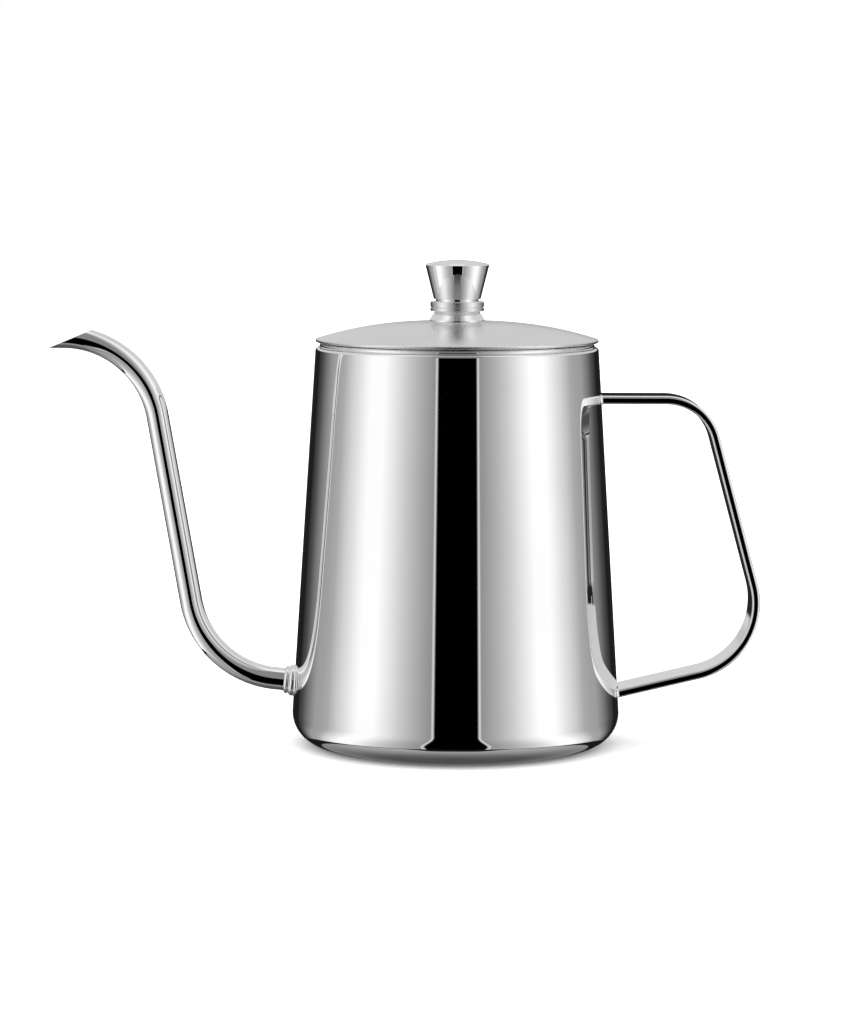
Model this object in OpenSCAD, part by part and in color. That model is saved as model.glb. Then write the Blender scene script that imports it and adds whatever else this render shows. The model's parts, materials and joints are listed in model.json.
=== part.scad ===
// Pour-over gooseneck kettle in stainless steel sheet, with a lid that lifts off.
// Millimetres. The origin is the centre of the flat base and +Z is up.
// The spout points to -X and the handle to +X.

/* [Body] */
// Radius of the tapered wall, carried down to the table
base_r = 49; // [48:0.5:50]
// Radius of the tapered wall at the height of the shoulder
top_r = 41.63; // [41.6:0.01:41.8]
// Height of the shoulder round the mouth
shoulder_z = 117.5; // [117.3:0.1:117.5]
// Outside radius of the rounded edge of the base
base_corner_r = 9.3; // [6:0.1:12]
// Thickness of the body sheet
sheet_t = 0.8; // [0.6:0.1:0.8]
// Outside radius of the shoulder bend
shoulder_r = 1; // [0.9:0.05:1.2]
// Inside radius of the mouth
mouth_r = 38.95; // [38.9:0.05:39.2]
// Radius of the rolled bead round the mouth
bead_r = 0.75; // [0.6:0.05:0.8]

/* [Spout] */
// Outside radius of the spout tube at the body
spout_root_r = 3.35; // [3.25:0.05:3.6]
// Outside radius of the spout tube at the tip
spout_tip_r = 3.3; // [3.1:0.05:3.3]
// Thickness of the spout tube
spout_t = 0.5; // [0.4:0.05:0.6]
// Distance from the kettle's axis to the end of the straight root
spout_root_x = 53.8; // [53:0.2:55]
// Height of the end of the straight root
spout_root_z = 18.9; // [18:0.1:21]
// Upward slope of the root, in degrees
spout_root_slope = 6; // [4:1:8]
// Radius of the lower bend, along the middle of the tube
spout_low_bend_r = 28; // [26:0.5:29]
// Length of the straight part between the two bends
spout_rise = 55.86; // [50:0.5:57]
// Lean of the straight part from the vertical, in degrees
spout_lean = 10; // [8:1:12]
// Radius of the upper bend, along the middle of the tube
spout_high_bend_r = 28; // [26:0.2:30]
// Length of the straight lip beyond the upper bend
spout_lip = 4.6; // [3:0.2:6]
// Slope of the cut that makes the beak, in degrees
spout_cut_slope = 23; // [21:1:32]
// Length of the collar that joins the spout to the body
collar_l = 3; // [2.8:0.1:3.6]
// Radius of the collar where it meets the body
collar_r = 4.8; // [4.7:0.1:5.6]

/* [Handle] */
// Height of the outer face of the top run
handle_z = 103.7; // [100:0.5:106]
// Distance from the kettle's axis to the start of the upper bend
handle_top_x = 61.4; // [58:0.2:64]
// Outside radius of the upper bend
handle_top_bend_r = 16.2; // [14:0.1:18]
// Lean of the grip from the vertical, in degrees
handle_lean = 15.1; // [12:0.1:16]
// Length of the straight grip between the bends
handle_grip_l = 44.9; // [40:0.1:46]
// Outside radius of the lower bend
handle_low_bend_r = 22.9; // [20:0.1:24]
// Slope of the lower run, in degrees
handle_low_slope = 13.4; // [10:0.1:16]
// Width of the strap
strap_w = 15; // [11:0.5:17]
// Thickness of the strap, whose edges are rounded
strap_t = 2.5; // [2.2:0.1:3]

/* [Lid] */
// Outside radius of the lid over its hem
lid_r = 41.6; // [41.5:0.05:41.8]
// Height of the flat crown of the lid
lid_z = 125; // [124.9:0.05:125.2]
// Radius of the flat crown that the knob stands on
lid_flat_r = 8.5; // [8.3:0.1:9]
// Radius of the dome's curve
lid_curve_r = 108.8; // [108:0.2:110]
// Thickness of the lid sheet
lid_t = 0.7; // [0.6:0.05:0.75]
// Radius of the rolled hem round the lid
hem_r = 0.55; // [0.5:0.05:0.6]
// Depth of the lid's skirt inside the mouth
skirt_depth = 10.5; // [8:0.5:14]
// Thickness of the skirt
skirt_t = 0.6; // [0.5:0.1:0.7]
// Clearance all round between the skirt and the mouth
skirt_gap = 0.45; // [0.4:0.05:0.6]
// Height that the lid's flange clears the bead by
seat_gap = 0.3; // [0.3:0.02:0.34]
// Radius of the steam vent
vent_r = 1.5; // [1:0.1:2]
// Distance from the lid's centre to the vent, on the side away from the front
vent_y = 27; // [20:1:32]

/* [Knob] */
// Height of the flared foot
foot_h = 3; // [2.5:0.1:4]
// Radius of the foot where it stands on the lid
foot_r = 8.1; // [7.6:0.1:8.2]
// Radius of the foot under the ring
foot_neck_r = 6.5; // [6:0.1:7]
// Height of the ring
ring_h = 2.9; // [2.6:0.1:3.5]
// Radius of the ring
ring_r = 7.9; // [7.3:0.1:8]
// Height of the recess between the ring and the grip
recess_h = 0.7; // [0.5:0.1:1]
// Radius of the grip at its lower end
grip_low_r = 6.9; // [6.4:0.1:7]
// Radius of the grip at its rim
grip_rim_r = 9.4; // [8.8:0.1:9.6]
// Height of the cone from the recess to the rim
grip_cone_h = 9.9; // [9:0.1:12]
// Height of the crown above the rim
grip_crown_h = 1.5; // [1.2:0.1:2]

/* [Knob screw] */
// Radius of the screw's shank
screw_r = 1.95; // [1.9:0.01:1.97]
// Radius of the holes that the shank passes through
screw_clearance_r = 2.15; // [2.1:0.05:2.3]
// Length of the shank under the head
screw_l = 14; // [12:0.5:16]
// Radius of the pan head
screw_head_r = 3.75; // [3.5:0.05:4]
// Height of the pan head
screw_head_h = 2.4; // [2:0.1:2.6]
// Radius of the washer
washer_r = 4.5; // [4.2:0.1:5]
// Thickness of the washer
washer_t = 0.8; // [0.5:0.1:1]

/* [Hidden] */

polished = "gainsboro";
satin = "darkgray";
plain = "slategray";

// Facets of large, middling and small round surfaces
fine = 180;
medium = 72;
small = 36;
// Overlap that keeps a cut clear of the face that it passes through
cut = 1;
// Straight stretches run this far into the bends that they meet
lap = 0.05;
// Bends are this much slimmer all round, so the two never share a surface
seam = 0.005;

// The wall is a cone: its slope, its angle and its radius at a height
wall_slope = (base_r - top_r) / shoulder_z;
wall_angle = atan(wall_slope);
function wall_r(z) = base_r - wall_slope * z;
// A round corner of radius r centred at height z touches the wall from this centre
function corner_x(z, r) = wall_r(z) - r / cos(wall_angle);
function on_arc(centre, r, angle) = centre + r * [cos(angle), sin(angle)];

base_corner = [corner_x(base_corner_r, base_corner_r), base_corner_r];
shoulder_corner = [corner_x(shoulder_z - shoulder_r, shoulder_r), shoulder_z - shoulder_r];
// The bead sits this far above the shoulder, measured to its centre
bead_lift = 0.45;
bead_top_z = shoulder_z + bead_lift + bead_r;

// Spout centre line: root, lower bend, straight rise, upper bend, lip
root_end = [-spout_root_x, spout_root_z];
low_centre = root_end + spout_low_bend_r * [sin(spout_root_slope), cos(spout_root_slope)];
rise_start = on_arc(low_centre, spout_low_bend_r, 180 + spout_lean);
rise_end = rise_start + spout_rise * [-sin(spout_lean), cos(spout_lean)];
high_centre = on_arc(rise_end, -spout_high_bend_r, spout_lean);
lip_start = high_centre + [0, spout_high_bend_r];
tip = lip_start - [spout_lip, spout_tip_r];
// Length of the root from its outer end to the wall
root_l = (spout_root_x - wall_r(spout_root_z)) / (cos(spout_root_slope) + wall_slope * sin(spout_root_slope));
root_at_wall = root_end + root_l * [cos(spout_root_slope), -sin(spout_root_slope)];
// Depth that the root and its collar reach inside the wall before they are trimmed to it
root_trim = 3;
// Sleeve of the collar round the tube, and the hollow that flares it out to the wall
collar_sleeve_r = spout_root_r + 0.475;
collar_flare_r = 2.4;
collar_land = 0.25;

// Handle: the bend centres and the length of the lower run
top_centre = [handle_top_x, handle_z - handle_top_bend_r];
grip_end = on_arc(top_centre, handle_top_bend_r, handle_lean)
    + handle_grip_l * [sin(handle_lean), -cos(handle_lean)];
bottom_centre = on_arc(grip_end, -handle_low_bend_r, handle_lean);
low_run_angle = handle_low_slope - 90;
low_run_start = on_arc(bottom_centre, handle_low_bend_r, low_run_angle);
// The runs reach in to this distance from the axis before they are trimmed to the wall
handle_trim_x = 40;
top_run_l = handle_top_x - handle_trim_x;
low_run_l = (low_run_start.x - handle_trim_x) / cos(handle_low_slope);

// Lid: the dome's centre of curvature, the hem and the seat of the flange
dome_centre = [lid_flat_r, lid_z - lid_curve_r];
hem_x = lid_r - hem_r;
hem_z = dome_centre.y + sqrt(pow(lid_curve_r, 2) - pow(hem_x - lid_flat_r, 2)) - hem_r;
seat_z = bead_top_z + seat_gap;
skirt_r = mouth_r - skirt_gap;
flange_t = 0.5;

// Knob: the heights at which its pieces meet
ring_z = lid_z + foot_h;
recess_z = ring_z + ring_h;
cone_z = recess_z + recess_h;
rim_z = cone_z + grip_cone_h;
crown_z = rim_z + grip_crown_h;
edge = 0.4;
recess_r = grip_low_r - 0.6;
// Radius of the sphere that crowns the grip, through the inside of the rim's edge
crown_rim_r = grip_rim_r - edge;
crown_rise = grip_crown_h - edge;
crown_r = (pow(crown_rim_r, 2) + pow(crown_rise, 2)) / (2 * crown_rise);
// The groove turned round the ring
groove_z = ring_z + 1;
groove_h = 0.3;
groove_depth = 0.25;
// Screw: underside of the washer, and the threaded hole in the grip
washer_z = lid_z - lid_t - washer_t;
thread_r = 2;
thread_end_gap = 1;
recess_w = 0.9;
recess_depth = 1.3;

// Part of a ring between two radii and two angles, less than a half turn apart
module arc_band(centre, r_out, r_in, from, to) {
    reach = 2 * r_out;
    middle = (from + to) / 2;
    translate(centre)
        intersection() {
            difference() {
                circle(r = r_out, $fn = fine);
                circle(r = r_in, $fn = fine);
            }
            polygon([
                [0, 0],
                on_arc([0, 0], reach, from),
                on_arc([0, 0], reach, middle),
                on_arc([0, 0], reach, to)
            ]);
        }
}

// Puts a shape drawn in X and Y into the kettle's upright X and Z plane, at a centre
module upright(centre) {
    translate([centre.x, 0, centre.y])
        rotate([90, 0, 0])
            children();
}

// The whole cone of the wall, which trims whatever is welded to it
module wall_cone() {
    cylinder(h = shoulder_z, r1 = base_r, r2 = top_r, $fn = fine);
}

module body_profile() {
    low_out = on_arc(base_corner, base_corner_r, wall_angle);
    low_in = on_arc(base_corner, base_corner_r - sheet_t, wall_angle);
    up = lap * [-sin(wall_angle), cos(wall_angle)];
    high_out = on_arc(shoulder_corner, shoulder_r, wall_angle) + up;
    high_in = on_arc(shoulder_corner, shoulder_r - sheet_t, wall_angle) + up;
    polygon([low_out, high_out, high_in, low_in]);
    arc_band(shoulder_corner, shoulder_r - seam, shoulder_r - sheet_t + seam, wall_angle, 90);
    translate([mouth_r, shoulder_z - sheet_t])
        square([shoulder_corner.x + lap - mouth_r, sheet_t]);
    translate([mouth_r + bead_r, shoulder_z + bead_lift])
        circle(r = bead_r, $fn = medium);
}

module body_wall() {
    color(polished)
        difference() {
            rotate_extrude($fn = fine)
                body_profile();
            translate([root_at_wall.x, 0, root_at_wall.y])
                rotate([0, spout_root_slope - 90, 0])
                    cylinder(h = 4 * root_trim, r = spout_root_r - spout_t, center = true, $fn = medium);
        }
}

module base_pan() {
    color(polished)
        rotate_extrude($fn = fine) {
            square([base_corner.x + lap, sheet_t]);
            arc_band(base_corner, base_corner_r - seam, base_corner_r - sheet_t + seam, -90, wall_angle);
        }
}

// A length of round bar along the spout's centre line; inset makes the bore
module spout_bar(inset) {
    root = spout_root_r - inset;
    end = spout_tip_r - inset;
    overrun = inset > 0 ? cut : 0;
    translate([root_end.x, 0, root_end.y])
        rotate([0, 90 + spout_root_slope, 0])
            translate([0, 0, -lap])
                cylinder(h = lap + root_l + root_trim + overrun, r = root, $fn = medium);
    upright(low_centre)
        rotate_extrude(angle = 90 - spout_root_slope - spout_lean, start = 180 + spout_lean, $fn = fine)
            translate([spout_low_bend_r, 0])
                circle(r = root - seam, $fn = medium);
    translate([rise_start.x, 0, rise_start.y])
        rotate([0, -spout_lean, 0])
            translate([0, 0, -lap])
                cylinder(h = spout_rise + 2 * lap, r1 = root, r2 = end, $fn = medium);
    upright(high_centre)
        rotate_extrude(angle = 90 - spout_lean, start = spout_lean, $fn = fine)
            translate([spout_high_bend_r, 0])
                circle(r = end - seam, $fn = medium);
    translate([lip_start.x, 0, lip_start.y])
        rotate([0, -90, 0])
            translate([0, 0, -lap])
                cylinder(h = lap + spout_lip + cut + overrun, r = end, $fn = medium);
}

module spout_tube() {
    cutter = 40;
    color(polished)
        difference() {
            spout_bar(0);
            spout_bar(spout_t);
            wall_cone();
            translate([tip.x, 0, tip.y])
                rotate([0, -spout_cut_slope, 0])
                    translate([-cutter / 2, -cutter / 2, 0])
                        cube(cutter);
        }
}

module spout_collar() {
    flare = [collar_sleeve_r + collar_flare_r, collar_l - collar_land];
    color(polished)
        difference() {
            translate([root_at_wall.x, 0, root_at_wall.y])
                rotate([0, spout_root_slope - 90, 0])
                    rotate_extrude($fn = medium) {
                        translate([spout_root_r, -root_trim])
                            square([collar_sleeve_r - spout_root_r, root_trim + collar_l]);
                        difference() {
                            translate([spout_root_r, -root_trim])
                                square([collar_r - spout_root_r, root_trim + flare.y]);
                            translate(flare)
                                circle(r = collar_flare_r, $fn = medium);
                        }
                    }
            wall_cone();
        }
}

// A bar with round edges, its depth along X and its width along Y
module stadium(width, depth) {
    square([depth, width - depth], center = true);
    for (side = [-1, 1])
        translate([0, side * (width - depth) / 2])
            circle(r = depth / 2, $fn = small);
}

// Flat bar with round edges, its outer face at X = 0
module strap_section(slimmer = 0) {
    translate([-strap_t / 2, 0])
        stadium(strap_w - slimmer, strap_t - slimmer);
}

module strap_bend(centre, r, from, turn) {
    upright(centre)
        rotate_extrude(angle = turn, start = from, $fn = fine)
            translate([r, 0])
                strap_section(slimmer = 2 * seam);
}

// A straight run that leaves a bend at an angle; way is 1 anticlockwise and -1 clockwise
module strap_run(centre, r, angle, way, length) {
    upright(centre)
        rotate([0, 0, angle])
            translate([r, 0, 0])
                rotate([-90 * way, 0, 0])
                    translate([0, 0, -lap])
                        linear_extrude(height = length + 2 * lap)
                            strap_section();
}

module handle_strap() {
    color(polished)
        difference() {
            union() {
                strap_run(top_centre, handle_top_bend_r, 90, 1, top_run_l);
                strap_bend(top_centre, handle_top_bend_r, handle_lean, 90 - handle_lean);
                strap_run(top_centre, handle_top_bend_r, handle_lean, -1, handle_grip_l);
                strap_bend(bottom_centre, handle_low_bend_r, low_run_angle, handle_lean - low_run_angle);
                strap_run(bottom_centre, handle_low_bend_r, low_run_angle, -1, low_run_l);
            }
            wall_cone();
        }
}

module dome_profile() {
    crown_hole_r = screw_clearance_r;
    translate([crown_hole_r, lid_z - lid_t])
        square([lid_flat_r - crown_hole_r, lid_t]);
    intersection() {
        translate(dome_centre)
            difference() {
                circle(r = lid_curve_r, $fn = fine);
                circle(r = lid_curve_r - lid_t, $fn = fine);
            }
        translate([lid_flat_r, shoulder_z])
            square([hem_x - lid_flat_r, lid_z]);
    }
    translate([hem_x, hem_z])
        circle(r = hem_r, $fn = small);
}

module lid_dome() {
    color(satin)
        difference() {
            rotate_extrude($fn = fine)
                dome_profile();
            translate([0, vent_y, shoulder_z])
                cylinder(h = lid_z - shoulder_z, r = vent_r, $fn = small);
        }
}

module lid_skirt() {
    color(satin)
        rotate_extrude($fn = fine)
            difference() {
                union() {
                    translate([skirt_r - skirt_t, seat_z + flange_t - skirt_depth])
                        square([skirt_t, skirt_depth]);
                    translate([skirt_r - skirt_t, seat_z])
                        square([hem_x - skirt_r + skirt_t, flange_t]);
                }
                dome_profile();
            }
}

module knob_foot() {
    color(polished)
        rotate_extrude($fn = medium)
            polygon([
                [screw_clearance_r, lid_z],
                [foot_r - edge, lid_z],
                [foot_r, lid_z + edge],
                [foot_neck_r, ring_z],
                [screw_clearance_r, ring_z]
            ]);
}

module knob_ring() {
    color(satin)
        rotate_extrude($fn = medium)
            difference() {
                polygon([
                    [screw_clearance_r, ring_z],
                    [ring_r - edge, ring_z],
                    [ring_r, ring_z + edge],
                    [ring_r, recess_z - edge / 2],
                    [ring_r - edge / 2, recess_z],
                    [screw_clearance_r, recess_z]
                ]);
                translate([ring_r - groove_depth, groove_z])
                    square([groove_depth + cut, groove_h]);
            }
}

module knob_grip() {
    color(polished)
        difference() {
            rotate_extrude($fn = medium) {
                translate([0, recess_z])
                    square([recess_r, recess_h + edge]);
                polygon([
                    [0, cone_z],
                    [grip_low_r, cone_z],
                    [grip_rim_r, rim_z],
                    [crown_rim_r, rim_z + edge],
                    [0, rim_z + edge]
                ]);
                intersection() {
                    translate([0, crown_z - crown_r])
                        circle(r = crown_r, $fn = fine);
                    translate([0, rim_z])
                        square([crown_rim_r, grip_crown_h]);
                }
            }
            translate([0, 0, lid_z])
                cylinder(h = washer_z + screw_l + thread_end_gap - lid_z, r = thread_r, $fn = small);
        }
}

module knob_screw() {
    color(plain)
        difference() {
            union() {
                translate([0, 0, washer_z - screw_head_h])
                    cylinder(h = screw_head_h, r = screw_head_r, $fn = medium);
                translate([0, 0, washer_z - cut])
                    cylinder(h = screw_l + cut, r = screw_r, $fn = small);
            }
            for (turn = [0, 90])
                rotate([0, 0, turn])
                    translate([0, 0, washer_z - screw_head_h])
                        cube([screw_head_r, recess_w, 2 * recess_depth], center = true);
        }
}

module knob_washer() {
    color(plain)
        translate([0, 0, washer_z])
            difference() {
                cylinder(h = washer_t, r = washer_r, $fn = medium);
                translate([0, 0, -cut])
                    cylinder(h = washer_t + 2 * cut, r = screw_clearance_r, $fn = small);
            }
}

body_wall();
base_pan();
spout_tube();
spout_collar();
handle_strap();
lid_dome();
lid_skirt();
knob_foot();
knob_ring();
knob_grip();
knob_screw();
knob_washer();
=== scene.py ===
"""Studio scene for the gooseneck kettle: mirror and satin steel on a pale floor, in soft light."""

import json
import math

import bpy
import numpy as np
from mathutils import Matrix


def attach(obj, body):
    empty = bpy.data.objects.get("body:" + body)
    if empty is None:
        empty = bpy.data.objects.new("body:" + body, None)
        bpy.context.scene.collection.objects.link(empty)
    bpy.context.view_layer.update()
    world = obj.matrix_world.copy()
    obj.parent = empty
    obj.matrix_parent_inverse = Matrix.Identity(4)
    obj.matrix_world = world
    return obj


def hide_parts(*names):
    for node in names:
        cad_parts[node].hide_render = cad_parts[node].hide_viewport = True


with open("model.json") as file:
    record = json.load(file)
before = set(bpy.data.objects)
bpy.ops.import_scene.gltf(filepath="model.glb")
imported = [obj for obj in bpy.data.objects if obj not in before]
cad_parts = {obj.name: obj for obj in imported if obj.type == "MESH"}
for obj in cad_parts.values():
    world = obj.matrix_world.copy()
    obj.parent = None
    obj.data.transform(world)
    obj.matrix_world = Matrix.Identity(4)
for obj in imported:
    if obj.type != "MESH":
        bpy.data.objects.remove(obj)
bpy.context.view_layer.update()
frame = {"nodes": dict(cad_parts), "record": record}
nodes = frame["nodes"]
scene = bpy.context.scene

# Sizes in millimetres, the same as the part's own
BASE_R, TOP_R, SHOULDER_Z = 49.0, 41.63, 117.5
CORNER_R, SHEET, SHOULDER_R, MOUTH_R, BEAD_R, BEAD_LIFT = 9.3, 0.8, 1.0, 38.95, 0.75, 0.45
ROOT_R, TIP_R, TUBE_T = 3.35, 3.3, 0.5
ROOT_END = np.array([-53.8, 0.0, 18.9])
ROOT_SLOPE, LEAN, CUT_SLOPE = math.radians(6), math.radians(10), math.radians(23)
LOW_R, RISE, HIGH_R, LIP = 28.0, 55.86, 28.0, 4.6
COLLAR_R, COLLAR_L = 4.8, 3.0
HANDLE_Z, HANDLE_TOP_X, TOP_BEND_R, GRIP_L, LOW_BEND_R = 103.7, 61.4, 16.2, 44.9, 22.9
HANDLE_LEAN, HANDLE_SLOPE = math.radians(15.1), math.radians(13.4)
TOP_RUN_L = 21.4
STRAP_W, STRAP_T = 15.0, 2.5
LID_R, LID_Z, LID_FLAT_R, LID_CURVE_R, LID_T, HEM_R = 41.6, 125.0, 8.5, 108.8, 0.7, 0.55
SKIRT_DEPTH, SKIRT_T, SKIRT_GAP, SEAT_GAP, FLANGE_T = 10.5, 0.6, 0.45, 0.3, 0.5
VENT_R, VENT_Y = 1.5, 27.0
VENT_REACH = 2.4
FOOT_H, FOOT_R, NECK_R, RING_H, RING_R, RECESS_H = 3.0, 8.1, 6.5, 2.9, 7.9, 0.7
GRIP_LOW_R, GRIP_RIM_R, CONE_H, CROWN_H = 6.9, 9.4, 9.9, 1.5
HOLE_R = 2.15
WELD_R, STRAP_EDGE_R = 0.9, 0.8
GROOVE_LOW, GROOVE_HIGH, GROOVE_DEPTH = 1.0, 1.3, 0.25
PAN_FLAT_R = 20.0
# The spout's bore is this much lower at the inside of the wall
BORE_DROP = 0.1
MOUTH_CORNER_R = 0.15
FINE_BELOW_Z = 30.0

WALL_SLOPE = (BASE_R - TOP_R) / SHOULDER_Z
WALL_ANGLE = math.atan(WALL_SLOPE)
RIGHT = math.pi / 2


def wall_r(z):
    """The body's outer radius at a height."""
    return BASE_R - WALL_SLOPE * z


# The spout's centre line from the wall to the start of its lower bend
ROOT_L = (-ROOT_END[0] - wall_r(ROOT_END[2])) / (math.cos(ROOT_SLOPE) + WALL_SLOPE * math.sin(ROOT_SLOPE))


# ---------------------------------------------------------------- camera

def make_camera():
    """A long lens in front of the kettle, a little left of its axis and looking slightly down."""
    data = bpy.data.cameras.new("camera")
    data.sensor_fit = "VERTICAL"
    data.sensor_height = 36.0
    data.lens = 121.15
    data.clip_end = 50.0
    cam = bpy.data.objects.new("camera", data)
    place, pitch_down, roll = (-0.00881, -1.013, 0.17335), 0.1030, 0.0033
    look = Matrix.Rotation(math.pi / 2 - pitch_down, 4, "X") @ Matrix.Rotation(roll, 4, "Z")
    cam.matrix_world = Matrix.Translation(place) @ look
    scene.collection.objects.link(cam)
    scene.camera = cam


# ---------------------------------------------------------------- node helpers

def grey(level):
    return (level, level, level, 1.0)


class Graph:
    """Short ways to add and join shader nodes."""

    def __init__(self, tree):
        self.tree = tree

    def add(self, kind, **values):
        node = self.tree.nodes.new(kind)
        for key, value in values.items():
            setattr(node, key, value)
        return node

    def join(self, out, into):
        self.tree.links.new(out, into)

    def put(self, socket, value):
        if hasattr(value, "is_output"):
            self.join(value, socket)
        else:
            socket.default_value = value

    def math(self, operation, *values, clamp=False):
        node = self.add("ShaderNodeMath", operation=operation, use_clamp=clamp)
        for socket, value in zip(node.inputs, values):
            self.put(socket, value)
        return node.outputs[0]

    def band(self, value, low, high, to_low=0.0, to_high=1.0):
        """The value carried from one range to another, smoothly and held at its ends."""
        node = self.add("ShaderNodeMapRange", interpolation_type="SMOOTHSTEP")
        for socket, v in zip(node.inputs, (value, low, high, to_low, to_high)):
            self.put(socket, v)
        return node.outputs[0]

    def ramp(self, factor, stops):
        node = self.add("ShaderNodeValToRGB")
        elements = node.color_ramp.elements
        while len(elements) < len(stops):
            elements.new(0.5)
        for element, (place, level) in zip(elements, stops):
            element.position = place
            element.color = grey(level)
        self.join(factor, node.inputs["Fac"])
        return node.outputs["Color"]

    def mix(self, factor, a, b):
        node = self.add("ShaderNodeMix", data_type="RGBA")
        for socket, value in ((node.inputs[0], factor), (node.inputs[6], a), (node.inputs[7], b)):
            self.put(socket, value)
        return node.outputs[2]

    def noise(self, vector, scale, detail=2.0):
        node = self.add("ShaderNodeTexNoise")
        self.join(vector, node.inputs["Vector"])
        node.inputs["Scale"].default_value = scale
        node.inputs["Detail"].default_value = detail
        return node.outputs["Fac"]

    def scaled(self, vector, x, y, z):
        node = self.add("ShaderNodeMapping")
        self.join(vector, node.inputs["Vector"])
        node.inputs["Scale"].default_value = (x, y, z)
        return node.outputs["Vector"]


# ---------------------------------------------------------------- light

def make_world():
    """A studio all round: a dark gap in front, soft boxes at the sides, dark flags further round, a
    pale wall behind, a light overhead, and a grey table below with a dark line at its edge."""
    world = bpy.data.worlds.new("studio")
    scene.world = world
    world.use_nodes = True
    tree = world.node_tree
    tree.nodes.clear()
    g = Graph(tree)
    coord = g.add("ShaderNodeTexCoord")
    split = g.add("ShaderNodeSeparateXYZ")
    g.join(coord.outputs["Generated"], split.inputs[0])
    x, y, z = split.outputs
    # Angle round the kettle from the front, 0 to 1, and height in degrees from the horizon
    turn = g.math("DIVIDE", g.math("ARCTAN2", g.math("ABSOLUTE", x), g.math("MULTIPLY", y, -1.0)), math.pi)
    lift = g.math("MULTIPLY", g.math("ARCSINE", z), 180 / math.pi)
    # The dark gap widens towards the table
    spread = g.math("MULTIPLY", turn, g.band(lift, -50.0, -8.0, 0.55, 1.0))
    level = g.ramp(spread, [
        (0.0, 0.0), (0.085, 0.0), (0.087, 0.72), (0.092, 0.72), (0.096, 0.29), (0.115, 0.33),
        (0.165, 0.45), (0.22, 0.62), (0.275, 0.84), (0.33, 1.05), (0.40, 1.05), (0.43, 0.95),
        (0.465, 0.80), (0.50, 0.68), (0.53, 0.56), (0.565, 0.42), (0.605, 0.37), (0.65, 0.35),
        (0.70, 0.22), (0.76, 0.08), (0.83, 0.012), (1.0, 0.02),
    ])
    # A pale patch of the wall shows between the flags, left of straight behind
    rear = g.math("MULTIPLY", g.band(turn, 0.94, 0.95), g.band(lift, -5.5, -4.0))
    level = g.mix(g.math("MULTIPLY", rear, g.band(x, -0.06, 0.0, 1.0, 0.0)), level, grey(0.64))
    # Away from the horizon the flags at the back give way to the pale wall
    high = g.ramp(turn, [
        (0.0, 0.24), (0.11, 0.24), (0.13, 0.36), (0.24, 0.60), (0.33, 0.98), (0.43, 0.90),
        (0.55, 0.66), (0.75, 0.64), (1.0, 0.66),
    ])
    sides = g.mix(g.band(lift, 4.5, 9.0), level, high)
    top = g.mix(g.band(lift, 72.0, 80.0), sides, grey(0.92))
    # The lower edge of the lights rises towards the back; under it a dark line, then the table
    edge = g.math("MULTIPLY_ADD", g.math("POWER", turn, 2.4), 42.0, -54.0)
    below = g.math("SUBTRACT", edge, lift)
    width = g.math("ADD", g.band(turn, 0.12, 0.32, 8.0, 1.2), g.band(turn, 0.5, 1.0, 0.0, 6.0))
    shade = g.band(turn, 0.5, 0.95, 1.0, 0.6)
    table = g.math("MULTIPLY", g.band(below, 0.0, 34.0, 0.40, 0.13), shade)
    line = g.mix(g.band(below, 0.0, 0.6), top, grey(0.01))
    lit = g.mix(g.band(below, width, g.math("ADD", width, 0.8)), line, table)
    path = g.add("ShaderNodeLightPath")
    lit = g.mix(path.outputs["Is Diffuse Ray"], lit, grey(2.2))
    lit = g.mix(path.outputs["Is Camera Ray"], lit, grey(1.0))
    background = g.add("ShaderNodeBackground")
    g.join(lit, background.inputs["Color"])
    out = g.add("ShaderNodeOutputWorld")
    g.join(background.outputs[0], out.inputs["Surface"])


def make_floor():
    mesh = bpy.data.meshes.new("floor")
    reach = 6.0
    corners = [(-reach, -reach, 0), (reach, -reach, 0), (reach, reach, 0), (-reach, reach, 0)]
    mesh.from_pydata(corners, [], [(0, 1, 2, 3)])
    floor = bpy.data.objects.new("floor", mesh)
    scene.collection.objects.link(floor)
    floor.location.z = -0.0002
    floor.visible_glossy = False
    mat = bpy.data.materials.new("floor")
    mat.use_nodes = True
    bsdf = mat.node_tree.nodes["Principled BSDF"]
    bsdf.inputs["Base Color"].default_value = grey(0.95)
    bsdf.inputs["Roughness"].default_value = 0.8
    bsdf.inputs["Specular IOR Level"].default_value = 0.0
    mesh.materials.append(mat)


# ---------------------------------------------------------------- steel

def steel(name, tone, rough, line_scale, line_depth):
    """Steel with faint variation of tone and gloss, and fine marks of the polish or the brush."""
    mat = bpy.data.materials.new(name)
    mat.use_nodes = True
    g = Graph(mat.node_tree)
    bsdf = mat.node_tree.nodes["Principled BSDF"]
    coord = g.add("ShaderNodeTexCoord").outputs["Object"]
    cloud = g.noise(coord, 35.0, 3.0)
    g.put(bsdf.inputs["Base Color"], g.mix(g.band(cloud, 0.3, 0.7), grey(tone[0]), grey(tone[1])))
    bsdf.inputs["Metallic"].default_value = 1.0
    lines = g.noise(g.scaled(coord, *line_scale), 1.0, 2.0)
    g.put(bsdf.inputs["Roughness"], g.band(lines, 0.3, 0.7, rough[0], rough[1]))
    if line_depth:
        bump = g.add("ShaderNodeBump")
        bump.inputs["Strength"].default_value = 1.0
        bump.inputs["Distance"].default_value = line_depth
        g.join(lines, bump.inputs["Height"])
        g.join(bump.outputs[0], bsdf.inputs["Normal"])
    return mat


looks = {
    "mirror_steel": steel("mirror_steel", (0.93, 0.96), (0.012, 0.035), (60, 60, 2500), 0.0),
    "satin_steel": steel("satin_steel", (0.86, 0.90), (0.25, 0.31), (1500, 1500, 1500), 0.0),
    "screw_steel": steel("screw_steel", (0.62, 0.70), (0.2, 0.3), (900, 900, 200), 0.000002),
}


# ---------------------------------------------------------------- meshes

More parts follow.
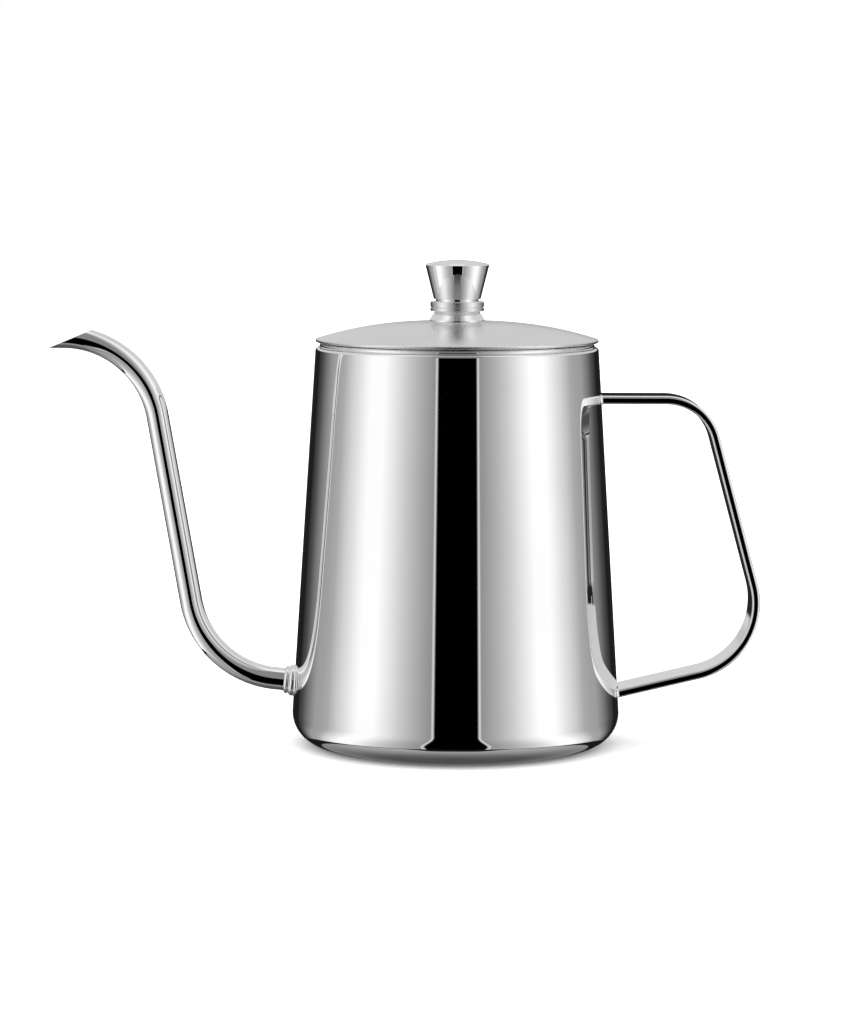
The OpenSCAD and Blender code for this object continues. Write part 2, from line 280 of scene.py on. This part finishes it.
def publish(name, verts, faces, body, node, slot, normals=None):
    """Makes a smooth mesh from millimetres, which stands for one CAD node and moves with its body."""
    mesh = bpy.data.meshes.new(name)
    mesh.from_pydata([tuple(v) for v in np.asarray(verts) * 0.001], [], faces)
    mesh.polygons.foreach_set("use_smooth", [True] * len(mesh.polygons))
    if normals is not None:
        mesh.normals_split_custom_set_from_vertices([tuple(n) for n in normals])
    mesh.update()
    obj = bpy.data.objects.new(name, mesh)
    scene.collection.objects.link(obj)
    mesh.materials.append(looks[slot])
    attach(obj, body)
    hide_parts(node)
    return obj


def arc(cx, cz, r, start, end, bulge=1, step=math.radians(2.5)):
    """Profile points along an arc, with outward normals; bulge is -1 for a hollow."""
    n = max(3, math.ceil(abs(end - start) / step))
    out = []
    for i in range(n + 1):
        a = start + (end - start) * i / n
        c, s = math.cos(a), math.sin(a)
        out.append((cx + r * c, cz + r * s, bulge * c, bulge * s))
    return out


def rounded(corners):
    """A closed outline from (x, z, radius) corners, anticlockwise, with rounded corners and normals."""
    out = []
    n = len(corners)
    for i, (x, z, r) in enumerate(corners):
        ax, az, _ = corners[i - 1]
        bx, bz, _ = corners[(i + 1) % n]
        d_in = np.array([x - ax, z - az]) / math.hypot(x - ax, z - az)
        d_out = np.array([bx - x, bz - z]) / math.hypot(bx - x, bz - z)
        n_in, n_out = np.array([d_in[1], -d_in[0]]), np.array([d_out[1], -d_out[0]])
        turn = math.atan2(d_in[0] * d_out[1] - d_in[1] * d_out[0], float(d_in @ d_out))
        if abs(turn) < 1e-4:
            out.append((x, z, n_in[0], n_in[1]))
            continue
        side = 1 if turn > 0 else -1
        centre = np.array([x, z]) - side * r * (n_in + n_out) / (1 + float(n_in @ n_out))
        first = math.atan2(n_in[1], n_in[0])
        steps = max(3, math.ceil(abs(turn) / math.radians(9 if r < 1 else 1.5)))
        for k in range(steps + 1):
            a = first + turn * k / steps
            c, s = math.cos(a), math.sin(a)
            out.append((centre[0] + side * r * c, centre[1] + side * r * s, c, s))
    return out


class Lathe:
    """Collects strips turned round the kettle's axis."""

    def __init__(self, segments=256, fine_at=None, fine_span=0.0):
        base = [2 * math.pi * i / segments for i in range(segments)]
        if fine_at is not None:
            base = [t for t in base if abs((t - fine_at + math.pi) % (2 * math.pi) - math.pi) > fine_span]
            base += [fine_at + fine_span * k / 16 for k in range(-16, 17)]
        self.angles = sorted(t % (2 * math.pi) for t in base)
        self.verts, self.normals, self.faces, self.rims = [], [], [], []

    def strip(self, points, closed=False, hole=None):
        """hole is (x, y, z, radius): the faces there are left out and the rim is drawn in to a circle."""
        rings = []
        count = len(self.angles)
        for r, z, nr, nz in points:
            if r < 1e-6:
                rings.append([len(self.verts)] * count)
                self.verts.append((0, 0, z))
                self.normals.append((0, 0, nz))
                continue
            rings.append(list(range(len(self.verts), len(self.verts) + count)))
            for t in self.angles:
                c, s = math.cos(t), math.sin(t)
                self.verts.append((r * c, r * s, z))
                self.normals.append((nr * c, nr * s, nz))
        pairs = list(zip(rings, rings[1:])) + ([(rings[-1], rings[0])] if closed else [])
        kept, dropped = [], set()
        for low, high in pairs:
            for i in range(count):
                j = (i + 1) % count
                face = list(dict.fromkeys((low[i], low[j], high[j], high[i])))
                if len(face) < 3:
                    continue
                if hole is not None:
                    near = sum(math.dist(self.verts[v], hole[:3]) < hole[3] for v in face)
                    if near >= 2:
                        dropped.update(face)
                        continue
                kept.append(face)
        if hole is not None:
            rim = {v for face in kept for v in face} & dropped
            centre = np.array(hole[:3])
            for v in rim:
                out = np.array(self.verts[v]) - centre
                normal = np.array(self.normals[v])
                flat = out - normal * float(out @ normal)
                flat *= hole[3] / np.linalg.norm(flat)
                self.verts[v] = tuple(centre + normal * float(out @ normal) + flat)
            self.rims.append(rim)
        self.faces += kept

    def tunnel(self):
        """The inside of a round hole, from the outer strip's rim to the inner strip's."""
        middles = [np.mean([self.verts[v] for v in rim], axis=0) for rim in self.rims]
        way = (middles[1] - middles[0]) / np.linalg.norm(middles[1] - middles[0])
        side = np.cross(way, [0.3, 0.9, 0.2])
        side /= np.linalg.norm(side)
        up = np.cross(way, side)
        loops = []
        for rim, middle in zip(self.rims, middles):
            loop = []
            for v in rim:
                ray = np.array(self.verts[v]) - middle
                ray -= way * float(ray @ way)
                ray /= np.linalg.norm(ray)
                loop.append((math.atan2(float(ray @ up), float(ray @ side)) / math.tau, len(self.verts)))
                self.verts.append(self.verts[v])
                self.normals.append(tuple(-ray))
            loop.sort()
            loops.append(loop + [(loop[0][0] + 1, loop[0][1])])
        near, far = loops
        i = j = 0
        while i < len(near) - 1 or j < len(far) - 1:
            if j == len(far) - 1 or (i < len(near) - 1 and near[i + 1][0] <= far[j + 1][0]):
                self.faces.append([near[i][1], far[j][1], near[i + 1][1]])
                i += 1
            else:
                self.faces.append([near[i][1], far[j][1], far[j + 1][1]])
                j += 1

    def publish(self, name, body, node, slot):
        return publish(name, self.verts, self.faces, body, node, slot, self.normals)


def turned(name, outlines, body, node, slot, segments=192):
    lathe = Lathe(segments)
    for outline in outlines:
        lathe.strip(rounded(outline), closed=True)
    return lathe.publish(name, body, node, slot)


def stations(a, b, places):
    """Points on the straight between two profile points, at parts of its length."""
    return [tuple(a[k] + (b[k] - a[k]) * t for k in range(4)) for t in places]


def make_body():
    ca, sa = math.cos(WALL_ANGLE), math.sin(WALL_ANGLE)
    corner = (wall_r(CORNER_R) - CORNER_R / ca, CORNER_R)
    high = (wall_r(SHOULDER_Z - SHOULDER_R) - SHOULDER_R / ca, SHOULDER_Z - SHOULDER_R)
    bead = (MOUTH_R + BEAD_R, SHOULDER_Z + BEAD_LIFT)
    crease = math.asin(BEAD_LIFT / BEAD_R)
    inside = CORNER_R - SHEET
    # The hole of the spout, through the wall on the root's centre line
    hole = ROOT_END + ROOT_L * np.array([math.cos(ROOT_SLOPE), 0, -math.sin(ROOT_SLOPE)])
    bore = ROOT_R - TUBE_T
    rows = [k / 60 for k in range(0, 61)]

    pan = Lathe()
    pan.strip([(0, 0, 0, -1), (PAN_FLAT_R, 0, 0, -1)] + arc(*corner, CORNER_R, -RIGHT, WALL_ANGLE))
    pan.strip(arc(*corner, inside, -RIGHT, WALL_ANGLE, -1)[::-1]
              + [(PAN_FLAT_R, SHEET, 0, 1), (0, SHEET, 0, 1)])
    join = [(corner[0] + r * ca, corner[1] + r * sa, -sa, ca) for r in (CORNER_R, inside)]
    pan.strip(join)
    pan.publish("base_pan_skin", "kettle", "base_pan", "mirror_steel")

    wall = Lathe(fine_at=math.pi, fine_span=math.radians(6))
    foot = (corner[0] + CORNER_R * ca, corner[1] + CORNER_R * sa, ca, sa)
    mid = (wall_r(FINE_BELOW_Z), FINE_BELOW_Z, ca, sa)
    head = (high[0] + SHOULDER_R * ca, high[1] + SHOULDER_R * sa, ca, sa)
    wall.strip(stations(foot, mid, rows) + stations(mid, head, (0.25, 0.5, 0.75, 1))
               + arc(*high, SHOULDER_R, WALL_ANGLE, RIGHT)[1:]
               + [(bead[0] + BEAD_R * math.cos(crease), SHOULDER_Z, 0, 1)],
               hole=(hole[0], 0, hole[2], bore))
    under = SHOULDER_Z - SHEET
    turn_in = (MOUTH_R + MOUTH_CORNER_R, under + MOUTH_CORNER_R)
    wall.strip(arc(*bead, BEAD_R, -crease, math.pi, step=math.radians(8))
               + arc(*turn_in, MOUTH_CORNER_R, math.pi, 1.5 * math.pi, step=0.4))
    top_in = wall_r(under) - SHEET / ca
    wall.strip([(turn_in[0], under, 0, -1), (top_in, under, 0, -1)])
    low_in = (corner[0] + inside * ca, corner[1] + inside * sa, -ca, -sa)
    mid_in = (wall_r(FINE_BELOW_Z) - SHEET / ca, FINE_BELOW_Z, -ca, -sa)
    wall.strip(stations((top_in, under, -ca, -sa), mid_in, (0, 0.5, 1))
               + stations(mid_in, low_in, rows[1:]),
               hole=(hole[0] + SHEET, 0, hole[2] - BORE_DROP, bore))
    wall.strip([(corner[0] + r * ca, corner[1] + r * sa, sa, -ca) for r in (inside, CORNER_R)])
    wall.tunnel()
    wall.publish("body_wall_skin", "kettle", "body_wall", "mirror_steel")


def bisect(f, low, high):
    """Where f changes sign, from below zero at low to above zero at high."""
    for _ in range(40):
        mid = (low + high) / 2
        if f(mid) < 0:
            low = mid
        else:
            high = mid
    return (low + high) / 2


def outside_wall(p):
    """How far a place lies outside the body's wall, measured level."""
    return math.hypot(p[0], p[1]) - wall_r(p[2])


def grid_faces(rings, count, closed):
    """Faces between rings of count points each; closed joins the last ring to the first."""
    faces = []
    for k in range(rings if closed else rings - 1):
        low, high = k * count, (k + 1) % rings * count
        for i in range(count):
            j = (i + 1) % count
            faces.append([low + i, low + j, high + j, high + i])
    return faces


class Spout:
    """The tube's centre line, measured from the wall, and places on its surface."""

    def __init__(self):
        x, z = ROOT_END[0], ROOT_END[2]
        self.low_turn = RIGHT - ROOT_SLOPE - LEAN
        self.high_turn = RIGHT - LEAN
        self.low = np.array([x + LOW_R * math.sin(ROOT_SLOPE), z + LOW_R * math.cos(ROOT_SLOPE)])
        start = self.low - LOW_R * np.array([math.cos(LEAN), math.sin(LEAN)])
        self.rise_way = np.array([-math.sin(LEAN), math.cos(LEAN)])
        self.rise_start = start
        self.high = start + RISE * self.rise_way - HIGH_R * np.array([math.cos(LEAN), math.sin(LEAN)])
        self.lip_start = self.high + np.array([0, HIGH_R])
        self.tip = self.lip_start - np.array([LIP, TIP_R])
        self.length = ROOT_L + LOW_R * self.low_turn + RISE + HIGH_R * self.high_turn + LIP

    def line(self, s):
        """The centre, the way on and the tube's radius at a distance."""
        s -= ROOT_L
        if s < 0:
            way = np.array([-math.cos(ROOT_SLOPE), math.sin(ROOT_SLOPE)])
            return np.array([ROOT_END[0], ROOT_END[2]]) + s * way, way, ROOT_R
        if s < LOW_R * self.low_turn:
            a = 1.5 * math.pi - ROOT_SLOPE - s / LOW_R
            ray = np.array([math.cos(a), math.sin(a)])
            return self.low + LOW_R * ray, np.array([ray[1], -ray[0]]), ROOT_R
        s -= LOW_R * self.low_turn
        if s < RISE:
            return self.rise_start + s * self.rise_way, self.rise_way, ROOT_R + (TIP_R - ROOT_R) * s / RISE
        s -= RISE
        if s < HIGH_R * self.high_turn:
            a = LEAN + s / HIGH_R
            ray = np.array([math.cos(a), math.sin(a)])
            return self.high + HIGH_R * ray, np.array([-ray[1], ray[0]]), TIP_R
        s -= HIGH_R * self.high_turn
        return self.lip_start - np.array([s, 0]), np.array([-1.0, 0.0]), TIP_R

    def place(self, s, turn, inset, radius=None):
        centre, way, r = self.line(s)
        ray = np.array([way[1] * math.cos(turn), math.sin(turn), -way[0] * math.cos(turn)])
        r = (r if radius is None else radius) - inset
        return np.array([centre[0], 0, centre[1]]) + r * ray, ray, np.array([way[0], 0, way[1]])

    def wall_at(self, turn, inset, radius=None):
        return bisect(lambda s: outside_wall(self.place(s, turn, inset, radius)[0]), -4, 4)

    def cut_at(self, turn, inset):
        tip = np.array([self.tip[0], 0, self.tip[1]])
        up = np.array([-math.sin(CUT_SLOPE), 0, math.cos(CUT_SLOPE)])
        start = ROOT_L + LOW_R * self.low_turn + RISE
        return bisect(lambda s: float(up @ (self.place(s, turn, inset)[0] - tip)), start, self.length + 3)


def make_spout():
    spout = Spout()
    count, rings = 96, 170
    turns = [2 * math.pi * i / count for i in range(count)]
    soft = TUBE_T / 2
    verts, normals = [], []

    def side(inset, parts, face):
        ends = [(turn, spout.wall_at(turn, inset), spout.cut_at(turn, inset) - soft) for turn in turns]
        for part in parts:
            for turn, start, end in ends:
                p, ray, _ = spout.place(start + (end - start) * part, turn, inset)
                verts.append(p)
                normals.append(face * ray)

    parts = [k / rings for k in range(rings + 1)]
    side(0, parts, 1)
    for k in range(1, 8):
        a = math.pi * k / 8
        inset = soft * (1 - math.cos(a))
        for turn in turns:
            p, ray, way = spout.place(spout.cut_at(turn, inset) - soft + soft * math.sin(a), turn, inset)
            verts.append(p)
            normals.append(math.cos(a) * ray + math.sin(a) * way)
    side(TUBE_T, reversed(parts), -1)
    total = len(verts) // count
    publish("spout_tube_skin", verts, grid_faces(total, count, True),
            "kettle", "spout_tube", "mirror_steel", normals)

    # The collar: a weld bulge against the wall and a turned bead at its outer end
    outline = [(0, COLLAR_R), (0.06, COLLAR_R - 0.12), (0.18, COLLAR_R - 0.2)]
    for a in range(116, 15, -8):
        outline.append((0.72 + 0.8 * math.cos(math.radians(a)), 3.86 + 0.8 * math.sin(math.radians(a))))
    for a in range(152, -1, -10):
        outline.append((2.3 + 0.56 * math.cos(math.radians(a)), 3.56 + 0.56 * math.sin(math.radians(a))))
    under = ROOT_R - 0.02
    outline += [(COLLAR_L, ROOT_R + 0.1), (COLLAR_L, under)]
    hidden = [(COLLAR_L, under), (0, under), (0, COLLAR_R)]
    verts = []
    for h, radius in outline + hidden:
        for turn in turns:
            start = spout.wall_at(turn, 0, radius)
            p, _, _ = spout.place(start * (1 - h / COLLAR_L) + h, turn, 0, radius)
            verts.append(p)
    back = [[v + len(outline) * count for v in face] for face in grid_faces(len(hidden), count, False)]
    publish("spout_collar_skin", verts, grid_faces(len(outline), count, False) + back,
            "kettle", "spout_collar", "mirror_steel")


def make_handle():
    top = np.array([HANDLE_TOP_X, HANDLE_Z - TOP_BEND_R])
    lean_ray = np.array([math.cos(HANDLE_LEAN), math.sin(HANDLE_LEAN)])
    grip_way = np.array([math.sin(HANDLE_LEAN), -math.cos(HANDLE_LEAN)])
    grip_start = top + TOP_BEND_R * lean_ray
    bottom = grip_start + GRIP_L * grip_way - LOW_BEND_R * lean_ray
    low_angle = HANDLE_SLOPE - RIGHT
    lengths = [TOP_RUN_L, TOP_BEND_R * (RIGHT - HANDLE_LEAN), GRIP_L, LOW_BEND_R * (HANDLE_LEAN - low_angle)]

    def line(s):
        """The middle of the outer face, the way out of that face and the way on."""
        if s < lengths[0]:
            return top + np.array([s - lengths[0], TOP_BEND_R]), np.array([0.0, 1.0]), np.array([1.0, 0.0])
        s -= lengths[0]
        if s < lengths[1]:
            a = RIGHT - s / TOP_BEND_R
            ray = np.array([math.cos(a), math.sin(a)])
            return top + TOP_BEND_R * ray, ray, np.array([ray[1], -ray[0]])
        s -= lengths[1]
        if s < lengths[2]:
            return grip_start + s * grip_way, lean_ray, grip_way
        s -= lengths[2]
        if s < lengths[3]:
            a = HANDLE_LEAN - s / LOW_BEND_R
            ray = np.array([math.cos(a), math.sin(a)])
            return bottom + LOW_BEND_R * ray, ray, np.array([ray[1], -ray[0]])
        s -= lengths[3]
        ray = np.array([math.cos(low_angle), math.sin(low_angle)])
        way = np.array([ray[1], -ray[0]])
        return bottom + LOW_BEND_R * ray + s * way, ray, way

    half_w, half_t = STRAP_W / 2, STRAP_T / 2
    corners = ((half_t, -half_w), (half_t, half_w), (-half_t, half_w), (-half_t, -half_w))
    section = rounded([(t, w, STRAP_EDGE_R) for t, w in corners])

    def place(s, point, spread=0.0):
        centre, ray, way = line(s)
        o, y, no, ny = point
        o, y = o + spread * no - half_t, y + spread * ny
        p = np.array([centre[0] + o * ray[0], -y, centre[1] + o * ray[1]])
        return p, np.array([no * ray[0], -ny, no * ray[1]]), np.array([way[0], 0, way[1]])

    total = sum(lengths)
    verts, normals = [], []

    def weld_ring(beta, first):
        """A ring of the hollow weld between the strap and the wall, at the first or the last end."""
        gap, spread = WELD_R * (1 - math.sin(beta)), WELD_R * (1 - math.cos(beta))
        for point in section:
            if first:
                s = bisect(lambda q: outside_wall(place(q, point, spread)[0]), 0, 10) + gap
            else:
                s = bisect(lambda q: -outside_wall(place(q, point, spread)[0]), total, total + 60) - gap
            p, n, way = place(s, point, spread)
            verts.append(p)
            normals.append(math.cos(beta) * n + math.sin(beta) * way * (1 if first else -1))

    betas = [RIGHT * k / 6 for k in range(7)]
    for beta in reversed(betas):
        weld_ring(beta, True)
    places = [8, 14, lengths[0]]
    bends = ((lengths[0], lengths[1], TOP_BEND_R), (sum(lengths[:3]), lengths[3], LOW_BEND_R))
    for start, length, r in bends:
        n = math.ceil(length / r / math.radians(1.5))
        places += [start + length * k / n for k in range(n + 1)]
        if start == lengths[0]:
            places += [start + length + GRIP_L * k / 4 for k in (1, 2, 3)]
    places += [total + 5, total + 14]
    for s in sorted(set(places)):
        for point in section:
            p, n, _ = place(s, point)
            verts.append(p)
            normals.append(n)
    for beta in betas:
        weld_ring(beta, False)
    count, total = len(section), len(verts)
    ends = [list(reversed(range(count))), list(range(total - count, total))]
    publish("handle_skin", verts, grid_faces(total // count, count, False) + ends,
            "kettle", "handle_strap", "mirror_steel", normals)


def make_lid():
    cx, cz = LID_FLAT_R, LID_Z - LID_CURVE_R
    hem_x = LID_R - HEM_R
    hem_z = cz + math.sqrt(LID_CURVE_R ** 2 - (hem_x - cx) ** 2) - HEM_R
    under = LID_CURVE_R - LID_T
    fine = math.radians(0.11)

    def past_underside(a):
        return math.hypot(hem_x + HEM_R * math.cos(a) - cx, hem_z + HEM_R * math.sin(a) - cz) - under

    hem_end = bisect(past_underside, math.radians(-170), -math.pi)

    def dome(r, bulge, edge):
        def at(x):
            return math.acos((x - cx) / r)
        before, after = at(VENT_Y + VENT_REACH), at(VENT_Y - VENT_REACH)
        return (arc(cx, cz, r, at(edge), before, bulge, math.radians(0.6))
                + arc(cx, cz, r, before, after, bulge, fine)[1:]
                + arc(cx, cz, r, after, RIGHT, bulge, math.radians(0.6))[1:])

    vent_z = cz + math.sqrt(LID_CURVE_R ** 2 - (VENT_Y - cx) ** 2)
    low_vent_z = cz + math.sqrt(under ** 2 - (VENT_Y - cx) ** 2)
    lid = Lathe(fine_at=RIGHT, fine_span=math.radians(6))
    lid.strip(arc(hem_x, hem_z, HEM_R, hem_end, RIGHT, step=math.radians(8)))
    lid.strip(dome(LID_CURVE_R, 1, hem_x) + [(HOLE_R, LID_Z, 0, 1)], hole=(0, VENT_Y, vent_z, VENT_R))
    lid.strip([(HOLE_R, LID_Z, -1, 0), (HOLE_R, LID_Z - LID_T, -1, 0)])
    inside = dome(under, -1, hem_x + HEM_R * math.cos(hem_end))
    lid.strip([(HOLE_R, LID_Z - LID_T, 0, -1)] + inside[::-1], hole=(0, VENT_Y, low_vent_z, VENT_R))
    lid.tunnel()
    lid.publish("lid_dome_skin", "lid", "lid_dome", "satin_steel")

    seat = SHOULDER_Z + BEAD_LIFT + BEAD_R + SEAT_GAP
    outer = MOUTH_R - SKIRT_GAP
    turned("lid_skirt_skin", [[
        (outer - SKIRT_T, seat + FLANGE_T - SKIRT_DEPTH, 0.2), (outer, seat + FLANGE_T - SKIRT_DEPTH, 0.2),
        (outer, seat, 0.25), (hem_x - 0.3, seat, 0.08), (hem_x - 0.3, seat + FLANGE_T, 0.08),
        (outer - SKIRT_T, seat + FLANGE_T, 0.25),
    ]], "lid", "lid_skirt", "satin_steel", 256)


def make_knob():
    ring_z = LID_Z + FOOT_H
    recess_z = ring_z + RING_H
    cone_z = recess_z + RECESS_H
    rim_z = cone_z + CONE_H
    crown_z = rim_z + CROWN_H
    turned("knob_foot_skin", [[
        (HOLE_R, LID_Z, 0.02), (FOOT_R, LID_Z, 0.1), (FOOT_R, LID_Z + 0.45, 0.22),
        (NECK_R, ring_z, 0.05), (HOLE_R, ring_z, 0.02),
    ]], "lid", "knob_foot", "mirror_steel")
    groove_r, groove_z, groove_top = RING_R - GROOVE_DEPTH, ring_z + GROOVE_LOW, ring_z + GROOVE_HIGH
    turned("knob_ring_skin", [[
        (HOLE_R, ring_z, 0.02), (RING_R, ring_z, 0.3),
        (RING_R, groove_z, 0.06), (groove_r, groove_z, 0.05),
        (groove_r, groove_top, 0.05), (RING_R, groove_top, 0.06),
        (RING_R, recess_z, 0.25), (HOLE_R, recess_z, 0.02),
    ]], "lid", "knob_ring", "satin_steel")
    rim_r, rim_top = GRIP_RIM_R - 0.4, rim_z + 0.4
    rise = crown_z - rim_top
    crown_r = (rim_r ** 2 + rise ** 2) / (2 * rise)
    turned("knob_grip_skin", [[
        (0, recess_z, 0.0), (GRIP_LOW_R - 0.6, recess_z, 0.04), (GRIP_LOW_R - 0.6, cone_z, 0.05),
        (GRIP_LOW_R, cone_z, 0.12), (GRIP_RIM_R, rim_z, 0.2), (rim_r, rim_top, 0.15),
        (rim_r / 2, crown_z, crown_r * 0.98), (0, crown_z, 0.0),
    ]], "lid", "knob_grip", "mirror_steel")


make_camera()
make_world()
make_floor()
make_body()
make_spout()
make_handle()
make_lid()
make_knob()
for part in frame["record"]["subparts"]:
    o = nodes[part["node"]]
    o.data.materials.clear()
    o.data.materials.append(looks[part["material_slot"]])

scene.view_settings.view_transform = "Standard"
